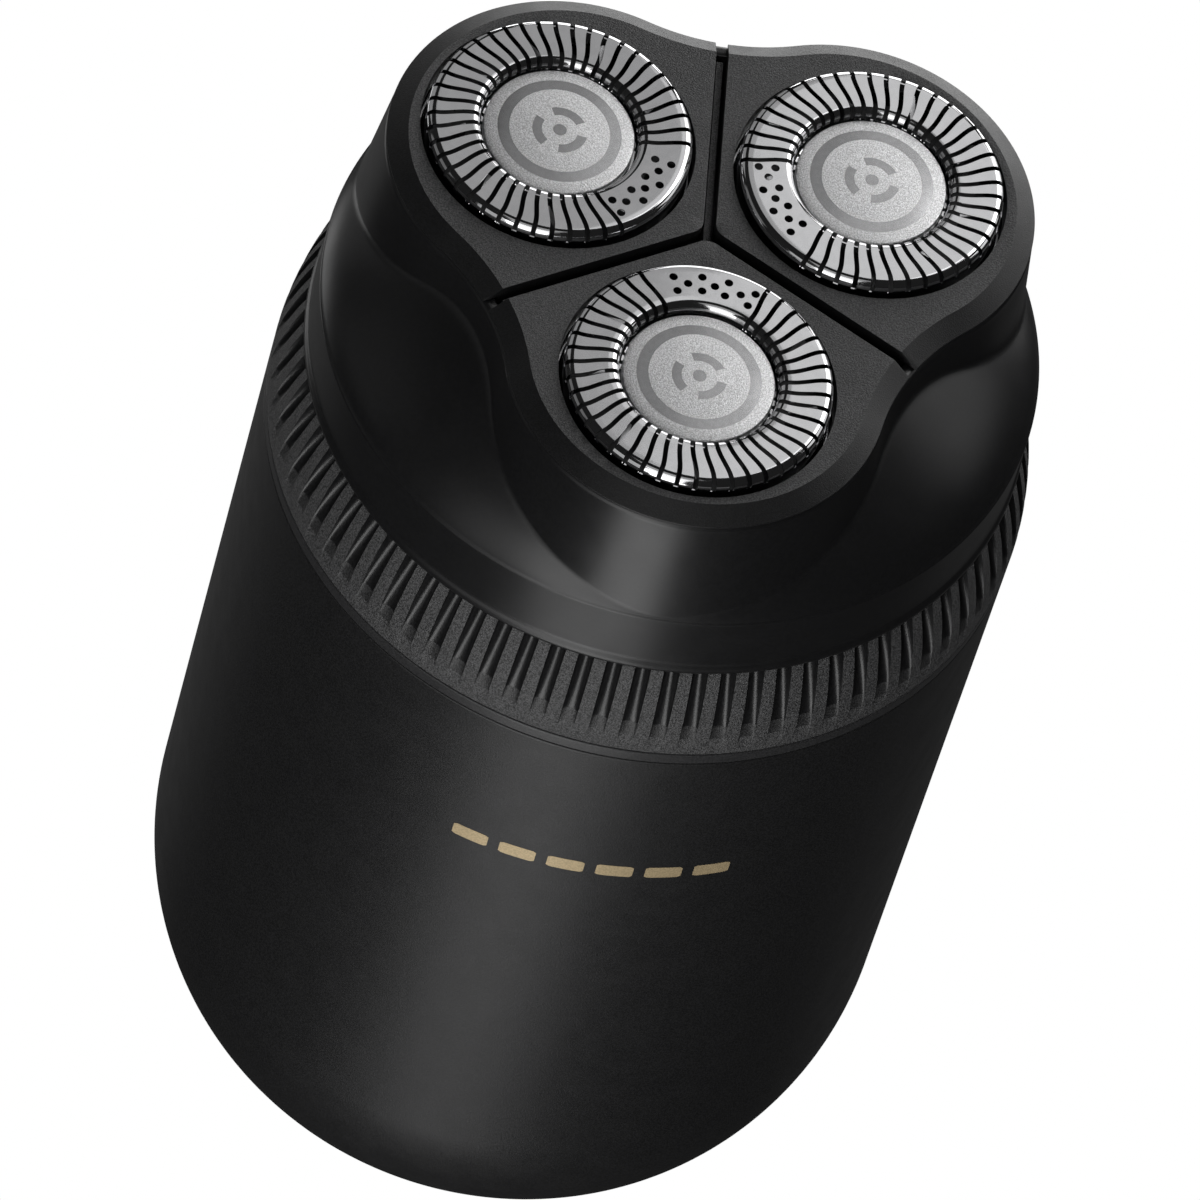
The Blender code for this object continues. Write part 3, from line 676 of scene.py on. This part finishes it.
def flute_heights():
    """Heights of the points up a flute, closest together at its round end."""
    starts = [FLUTE_START_Z + rise for rise in FLUTE_RISES]
    run = RING_Z[1] - RING_LIP - starts[-1]
    return starts + [starts[-1] + run * step / FLUTE_STEPS for step in range(1, FLUTE_STEPS + 1)]


def ring_radius(height):
    """The ring's outside, upright at the foot and curving in towards the upper edge."""
    share = max((height - RING_CURVE_Z) / (RING_Z[1] - RING_CURVE_Z), 0)
    return RING_R[0] + (RING_R[1] - RING_R[0]) * share**RING_CURVE


def ring_foot():
    """(radius, height) of the ring's section from the bore round the foot to the outside."""
    low = RING_Z[0]
    ease = RING_EASES[0]
    side = low + RING_FOOT_H
    points = [(RING_BORE_R, low + ease), (RING_BORE_R + ease, low)]
    points += arc((RING_R[0] - RING_FOOT_R, low + RING_FOOT_R), RING_FOOT_R, -math.pi / 2, 0, 4)
    return points + [(ring_radius(side), side)]


def flute_points(index):
    """(radius, degrees, height) up one column of a flute. index counts columns from the flute's
    middle to FLUTE_EDGE, and the outermost column is on the land beside it."""
    sweep = math.radians(90 * index / FLUTE_EDGE)
    points = []
    for height in flute_heights():
        width, depth = flute_shape(height)
        radius = ring_radius(height)
        width = math.degrees(width / radius)
        if abs(index) > FLUTE_EDGE:
            width = (width + 180 / FLUTES) / 2
        offset = width * math.sin(max(min(sweep, TAU / 4), -TAU / 4))
        cut = depth * math.cos(sweep) if abs(index) < FLUTE_EDGE else 0.0
        points.append((radius - cut, offset, height))
    return points


def ring_column(index):
    """(radius, degrees, height) round the ring's section at one column of a flute."""
    flank = flute_points(index)
    foot_turn = flank[0][1]
    radius, turn, _ = flank[-1]
    high = RING_Z[1]
    ease = RING_EASES[1]
    column = [(r, foot_turn, z) for r, z in ring_foot()] + flank
    column.append((radius - RING_LIP, turn, high))
    return column + [(RING_BORE_R + ease, foot_turn, high), (RING_BORE_R, foot_turn, high - ease)]


def shade_flutes(faces):
    """Paints shade into the flutes: the faces inside them get a darker colour the deeper they are."""
    heights = flute_heights()
    foot = len(ring_foot())
    for (row, column), face in faces.items():
        index = row % (2 * FLUTE_SIDE + 1) - FLUTE_SIDE
        level = column - foot
        if 0 <= level < len(heights) - 1 and -FLUTE_EDGE <= index < FLUTE_EDGE:
            depth = flute_shape(heights[level])[1]
            # Painted shade: the deeper a face inside a flute, the darker its colour.
            face.material_index = sum(depth > shade for shade in SHADE_DEPTHS)


def twist_ring():
    """A band with a row of flutes that open through its upper edge, with painted shade inside them."""
    columns = [ring_column(index) for index in range(-FLUTE_SIDE, FLUTE_SIDE + 1)]
    rows = []
    for flute in range(FLUTES):
        middle = 360 * flute / FLUTES
        for column in columns:
            rows.append([polar(radius, middle + turn, z) for radius, turn, z in column])
    mesh, faces = weave(rows)
    shade_flutes(faces)
    piece(
        "fluted_ring", mesh, [ring_black, ring_painted_shade, ring_painted_deep_shade], "switch_ring",
        ["twist_ring"], sharp=38,
    )


# --- head housing ----------------------------------------------------------------------------


def clover_radius(angle, inset=0.0):
    """Distance from the shaver's axis to the lobed outline, at an angle from +X."""
    third = TAU / 3
    off = abs((angle - math.radians(HEADS[2]) + third / 2) % third - third / 2)
    lobe_x = LOBE_PITCH_R + LOBE_R * math.cos(LOBE_END)
    lobe_y = LOBE_R * math.sin(LOBE_END)
    if off < math.atan2(lobe_y, lobe_x):
        rise = LOBE_PITCH_R * math.sin(off)
        return LOBE_PITCH_R * math.cos(off) + math.sqrt((LOBE_R - inset) ** 2 - rise**2)
    off = third / 2 - off
    rise = FILLET_PITCH_R * math.sin(off)
    return FILLET_PITCH_R * math.cos(off) - math.sqrt((FILLET_R + inset) ** 2 - rise**2)


def back_dip(angle):
    """How far the dome is lowered behind the waist at the back, where it can't be seen above
    the head from the front."""
    off = abs(math.degrees(angle) - 90) / BACK_DIP_SPAN
    return BACK_DIP * smooth(max(1 - off, 0))


def blend(weights, points):
    """The weighted sum of points (radius, height)."""
    return tuple(sum(w * point[axis] for w, point in zip(weights, points)) for axis in (0, 1))


def dome_point(share, angle):
    """A point of the dome's profile, from the collar's crease (0) to the waist (1)."""
    back = 1 - share
    weights = (back**3, 3 * back**2 * share, 3 * back * share**2, share**3)
    radius, height = blend(weights, DOME)
    return radius, height - back_dip(angle)


def skirt_radius(angle, height):
    """The skirt leans out towards its foot, and more at the waists than at the lobes."""
    top = clover_radius(angle)
    lobe_flare, waist_flare = SKIRT_FLARE
    share = (LOBE_PITCH_R + LOBE_R - top) / (LOBE_PITCH_R + LOBE_R - WAIST_R)
    return top + (lobe_flare + (waist_flare - lobe_flare) * share) * (SKIRT_TOP_Z - height)


def dome_end(angle):
    """The share of the dome's profile at which the skirt comes out of it."""
    low, high = 0.0, 1.0
    for _ in range(HALVINGS):
        middle = (low + high) / 2
        radius, height = dome_point(middle, angle)
        if radius > skirt_radius(angle, height):
            low = middle
        else:
            high = middle
    return max(low, DOME_LEAST)


def bend(start, corner, end, steps):
    """A curve from start to end that is tangent to both lines through corner."""
    shares = (step / steps for step in range(steps + 1))
    return [
        blend(((1 - share) ** 2, 2 * share * (1 - share), share**2), (start, corner, end))
        for share in shares
    ]


def collar_section(angle, start):
    """(radius, height) from the lip up the collar to the dome, which begins at a share."""
    points = [(COLLAR_R + off, LIP_Z + rise) for off, rise in LIP]
    points += bend(*((COLLAR_R + off, LIP_Z + rise) for off, rise in LIP_BEND), 4)
    crease = CREASE_Z - back_dip(angle)
    below = (COLLAR_R, crease - CREASE_RUN)
    return points + bend(below, (COLLAR_R - CREASE_INSET, crease), dome_point(start, angle), 4)


def skirt_section(angle, low):
    """(radius, height) from the skirt's foot over its rounded rim to the inside."""
    shoulder = SKIRT_TOP_Z - RIM_ROUND
    points = []
    for step in range(1, SKIRT_STEPS + 1):
        height = low + (shoulder - low) * step / SKIRT_STEPS
        points.append((skirt_radius(angle, height), height))
    radius = points[-1][0]
    points += arc((radius - RIM_ROUND, shoulder), RIM_ROUND, RIM_LEAN, math.pi / 2, 7)
    inside = clover_radius(angle, SKIRT_WALL)
    return points + [(inside + RIM_EASE, SKIRT_TOP_Z), (inside, SKIRT_TOP_Z - RIM_EASE)]


def housing_section(angle):
    """(radius, height) round the whole wall of the housing, outside first."""
    end = dome_end(angle)
    ease = min(DOME_EASE, end * 0.4)
    start = ease * 0.15
    points = collar_section(angle, start)
    run = end - ease * 1.15
    for step in range(1, DOME_STEPS + 1):
        points.append(dome_point(start + run * step / DOME_STEPS, angle))
    foot = dome_point(end, angle)
    rise = foot[1] + min(SKIRT_FOOT, 12 * ease)
    points += bend(points[-1], foot, (skirt_radius(angle, rise), rise), 7)[1:]
    points += skirt_section(angle, rise)
    points.append((clover_radius(angle, SKIRT_WALL), foot[1] - SKIRT_DROP))
    for step in (3, 2, 1, 0):
        radius, height = dome_point(end * step / 4, angle)
        points.append((radius - DOME_WALL[0], height - DOME_WALL[1]))
    return points


def shoulder_housing():
    """Collar, dome and lobed skirt in one moulding."""
    piece(
        "shoulder_shell", loft(housing_section, HOUSING_COLUMNS), [satin_black], "head",
        ["shoulder_housing"], sharp=50,
    )


# --- petals and rib --------------------------------------------------------------------------


def petal_outline(inset, side_inset):
    """One petal seen from above, its lobe towards +X and the shaver's axis at the origin."""
    corner_steps, side_steps, fillet_steps, lobe_steps = PETAL_STEPS
    gap = GROOVE_HALF + side_inset
    inner = (gap + PETAL_CORNER_R) / math.sin(SIXTY)
    corner = arc((inner, 0), PETAL_CORNER_R, math.pi, math.radians(150), corner_steps)
    fillet_r = FILLET_R + inset
    centre = (FILLET_PITCH_R * math.cos(SIXTY), FILLET_PITCH_R * math.sin(SIXTY))
    start = SIXTY + math.pi + math.asin(gap / fillet_r)
    end = math.atan2(-centre[1], LOBE_PITCH_R - centre[0]) + TAU
    fillet = arc(centre, fillet_r, start, end, fillet_steps)
    lobe = arc((LOBE_PITCH_R, 0), LOBE_R - inset, LOBE_END, 0, lobe_steps)
    side = between(corner[-1], fillet[0], side_steps)
    half = corner + side + fillet + lobe[1:]
    return half + [(x, -y) for x, y in half[-2:0:-1]]


def petal_plate():
    """A chamfered plate with a round bore on Z, and its faces by place."""
    under, low, edge, top = PETAL_Z
    outlines = zip(
        petal_outline(PETAL_STEP, PETAL_UNDERCUT), petal_outline(0, 0),
        petal_outline(PETAL_CHAMFER, 0),
    )
    rows = []
    for inner, outer, upper in outlines:
        spoke = Vector((outer[0] - HEAD_PITCH_R, outer[1])).normalized() * BORE_R
        bore = (spoke.x + HEAD_PITCH_R, spoke.y)
        loop = [(bore, under), (inner, under), (inner, low), (outer, low)]
        loop += [(outer, edge), (upper, top), (bore, top)]
        rows.append([(x - HEAD_PITCH_R, y, z) for (x, y), z in loop])
    return weave(rows)


def petals():
    """Three alike plates with a textured top and a smoother chamfer."""
    mesh, faces = petal_plate()
    for (_, column), face in faces.items():
        face.material_index = 0 if column == PETAL_TOP_COLUMN else 1
    pattern = place("petal", mesh_data("petal", mesh, [petal_top, petal_edge], 25))
    shared = worked(pattern, bevel=PETAL_BEVEL, sharp=25)
    bpy.data.objects.remove(pattern, do_unlink=True)
    for number, angle in HEADS.items():
        data = shared.copy()
        data.transform(Matrix.Rotation(math.radians(angle), 4, "Z"))
        plate = place(f"petal_plate_{number}", data, polar(HEAD_PITCH_R, angle))
        join_frame(plate, "head", [f"petal_{number}"])


def rib():
    """Three thin arms that meet between the petals."""
    outline = []
    for angle in HEADS.values():
        outline.append(tuple(polar(RIB_HALF / math.sin(SIXTY), angle))[:2])
        along = polar(1, angle + 60)
        across = Vector((-along.y, along.x, 0)) * RIB_HALF
        outline.append(tuple(along * RIB_REACH - across)[:2])
        outline.append(tuple(along * RIB_REACH + across)[:2])
    arms = prism(outline, *RIB_Z)
    piece("groove_rib", arms, [petal_top], "head", ["y_divider"], bevel=PETAL_BEVEL)


# --- cutting units ---------------------------------------------------------------------------


def guard_profile():
    """(radius, height, open) from the flange over the top to the floor. open marks the runs
    that slots cut."""
    outer, inner = GUARD_ROUND_R
    runs = [GUARD_SIDE] + arc((outer, -GUARD_ROUND), GUARD_ROUND, 0, math.pi / 2, 7)
    runs += [(radius, 0.0) for radius in GUARD_TOP]
    runs += arc((inner, -GUARD_ROUND), GUARD_ROUND, math.pi / 2, math.pi, 7)
    profile = [(radius, height, False) for radius, height in GUARD_FLANGE]
    profile += [(radius, height, True) for radius, height in runs]
    return profile + [(radius, height, False) for radius, height in GUARD_FLOOR]


def slot_turn(radius):
    """How far a slot has swung round by this radius, in degrees."""
    inner, outer = SLOT_TURN_R
    share = min(max((radius - inner) / (outer - inner), 0), 1)
    return SLOT_TURN * (smooth(share) - 0.5)


def guard_columns(radius):
    """Angles of the columns at a radius, and which of them start a slot."""
    half = math.degrees(SLOT_HALF / radius)
    pitch = 2 * SLOT_SPAN / (SLOTS - 1)
    angles = []
    starts = set()
    for slot in range(SLOTS):
        middle = -SLOT_SPAN + pitch * slot
        starts.add(len(angles))
        angles += [middle - half, middle + half]
        last = slot == SLOTS - 1
        room = 360 - 2 * SLOT_SPAN if last else pitch
        steps = SECTOR_STEPS if last else SLOT_STEPS
        angles += [middle + half + (room - 2 * half) * step / steps for step in range(1, steps)]
    turn = slot_turn(radius)
    return [angle + turn for angle in angles], starts


def hair_holes():
    """Round holes in the sector of the guard that has no slots, in three staggered rows."""
    outline = arc((0, 0), HOLE_R, 0, TAU, HOLE_STEPS)[:-1]
    drills = []
    for radius, angles in HOLES:
        for angle in angles:
            drills.append(moved(prism(outline, *HOLE_Z), polar(radius, angle)))
    return group(drills)


def guards():
    """Three alike pressings of thin polished sheet, slotted through the rounded rim."""
    profile = guard_profile()
    rows = []
    for radius, height, _ in profile:
        angles, starts = guard_columns(radius)
        rows.append([polar(radius, angle, height) for angle in angles])
    mesh = weave(rows, around=False, skip=lambda row, column: profile[row][2] and column in starts)[0]
    pattern = place("guard", mesh_data("guard", mesh, [polished], 40))
    shared = worked(pattern, [hair_holes()], sharp=40, thickness=GUARD_WALL)
    bpy.data.objects.remove(pattern, do_unlink=True)
    for number, angle in HEADS.items():
        guard = place(f"slotted_guard_{number}", shared, polar(HEAD_PITCH_R, angle, RIM_Z), angle)
        join_frame(guard, f"comb_{number}", [f"guard_{number}"])


def caps():
    """Satin discs with a polished band, three polished arcs and a dot, all flush."""
    rings = [(radius, CAP_TOP - CAP_SAG * (radius / CAP_R) ** 2) for radius in CAP_RINGS]
    centre = (CAP_R - CAP_EDGE_R, CAP_TOP - CAP_SAG - CAP_EDGE_R)
    profile = rings + arc(centre, CAP_EDGE_R, math.pi / 2, 0, 4) + list(CAP_UNDER)
    rows = []
    for column in range(CAP_COLUMNS):
        angle = 360 * column / CAP_COLUMNS
        rows.append([polar(radius, angle, height) for radius, height in profile])
    mesh, faces = weave(rows, across=False)
    for (column, ring), face in faces.items():
        in_arc = column % (CAP_COLUMNS // CAP_ARCS) < CAP_ARC_COLUMNS
        shiny = ring in CAP_BRIGHT_RINGS or (ring in CAP_ARC_RINGS and in_arc)
        face.material_index = 1 if shiny else 0
    shared = mesh_data("cap", mesh, [satin_silver, inlay], 30)
    for number, angle in HEADS.items():
        cap = place(f"cap_{number}", shared, polar(HEAD_PITCH_R, angle, RIM_Z), angle)
        join_frame(cap, f"comb_{number}", [f"cap_disc_{number}"])


def cutters():
    """A dark carrier with a socket under it, and nine slanted steel blades that stand on it."""
    carrier = mesh_data("carrier", turned(CARRIER, CARRIER_COLUMNS), [moulded], 30)
    parts = []
    for number in range(BLADES):
        blade = moved(prism(rounded(BLADE_SECTION, 3), *BLADE_Z), turn=BLADE_SLANT)
        parts.append(moved(moved(blade, (BLADE_R, 0, 0)), turn=360 * number / BLADES))
    blades = mesh_data("blades", group(parts), [machined], 30)
    for number, angle in HEADS.items():
        at = polar(HEAD_PITCH_R, angle, RIM_Z)
        body = f"blades_{number}"
        hub = place(f"blade_carrier_{number}", carrier, at, angle)
        join_frame(hub, body, [f"cutter_{number}"])
        wheel = place(f"blade_wheel_{number}", blades, at, angle)
        join_frame(wheel, body, ())


# --- CAD nodes that stay ---------------------------------------------------------------------


def repaint_frame():
    """Gives every CAD node that is still shown the finish of its slot."""
    finishes = {
        "frame_plastic": moulded,
        "housing_black": moulded,
        "plain_steel": machined,
        "gear_plastic": acetal,
        "seal_rubber": silicone,
        "battery_wrap": sleeve,
        "board_green": mask,
    }
    slots = {part["node"]: part["material_slot"] for part in frame["record"]["subparts"]}
    for name, node in frame["nodes"].items():
        if not node.hide_render and slots[name] in finishes:
            node.data.materials.clear()
            node.data.materials.append(finishes[slots[name]])


# --- studio ----------------------------------------------------------------------------------


def direction(azimuth, elevation):
    """Unit vector out to an azimuth and elevation in degrees."""
    a, e = math.radians(azimuth), math.radians(elevation)
    return Vector((math.sin(a) * math.cos(e), -math.cos(a) * math.cos(e), math.sin(e)))


def softbox(name, away, distance, size, radiance, aim):
    """A rectangular light of even radiance; 1 is the radiance of a white card."""
    lamp = bpy.data.lights.new(name, "AREA")
    lamp.shape = "RECTANGLE"
    lamp.size = size[0] * MM
    lamp.size_y = size[1] * MM
    lamp.energy = radiance * size[0] * size[1] * MM**2 * math.pi
    obj = bpy.data.objects.new(name, lamp)
    obj.location = (Vector(aim) + away * distance) * MM
    obj.rotation_euler = away.to_track_quat("Z", "Y").to_euler()
    obj.visible_camera = False
    bpy.context.scene.collection.objects.link(obj)


def lights():
    """A ring of soft boxes round the shaver, and narrow ones close above the head."""
    for name, azimuth, elevation, size, radiance in LIGHTS:
        softbox(name, direction(azimuth, elevation), LIGHT_DISTANCE, size, radiance, LIGHT_AIM)
    for name, radiance, aim in NEAR_LIGHTS:
        softbox(name, direction(*NEAR_AWAY), NEAR_DISTANCE, NEAR_SIZE, radiance, aim)


def paper():
    """A plain white surface that gives its own light."""
    made = bpy.data.materials.new("paper")
    made.use_nodes = True
    tree = made.node_tree
    tree.nodes.clear()
    light = tree.nodes.new("ShaderNodeEmission")
    light.inputs["Color"].default_value = (1, 1, 1, 1)
    light.inputs["Strength"].default_value = 1.0
    out = tree.nodes.new("ShaderNodeOutputMaterial")
    tree.links.new(light.outputs["Emission"], out.inputs["Surface"])
    return made


def floor():
    """A plain pale floor that only the camera sees."""
    disc = prism(arc((0, 0), FLOOR_R, 0, TAU, FLOOR_STEPS)[:-1], *FLOOR_Z)
    obj = place("floor", mesh_data("floor", disc, [paper()], 30))
    obj.visible_diffuse = False
    obj.visible_glossy = False
    obj.visible_shadow = False


def backdrop():
    """White to the camera, and nearly dark to everything else."""
    world = bpy.data.worlds.new("studio")
    world.use_nodes = True
    tree = world.node_tree
    background = tree.nodes["Background"]
    rays = tree.nodes.new("ShaderNodeLightPath")
    shade = tree.nodes.new("ShaderNodeMapRange")
    shade.inputs["To Min"].default_value = ROOM_GLOW
    shade.inputs["To Max"].default_value = 1.0
    tree.links.new(rays.outputs["Is Camera Ray"], shade.inputs["Value"])
    tree.links.new(shade.outputs["Result"], background.inputs["Strength"])
    background.inputs["Color"].default_value = (1, 1, 1, 1)
    bpy.context.scene.world = world


def camera():
    """A long lens from the front and above, rolled a little."""
    lens = bpy.data.cameras.new("camera")
    lens.lens = CAMERA_LENS
    lens.sensor_width = CAMERA_SENSOR
    lens.clip_end = CAMERA_CLIP
    obj = bpy.data.objects.new("camera", lens)
    away = direction(*CAMERA_AWAY)
    obj.location = (Vector(CAMERA_AIM) + away * CAMERA_DISTANCE) * MM
    roll = Matrix.Rotation(math.radians(CAMERA_ROLL), 4, "Z")
    turn = away.to_track_quat("Z", "Y").to_matrix().to_4x4() @ roll
    obj.rotation_euler = turn.to_euler()
    bpy.context.scene.collection.objects.link(obj)
    bpy.context.scene.camera = obj
    bpy.context.scene.view_settings.view_transform = "Standard"


body_shell()
gold_mark()
trim_ring()
charge_port()
twist_ring()
shoulder_housing()
petals()
rib()
guards()
caps()
cutters()
repaint_frame()
floor()
backdrop()
lights()
camera()
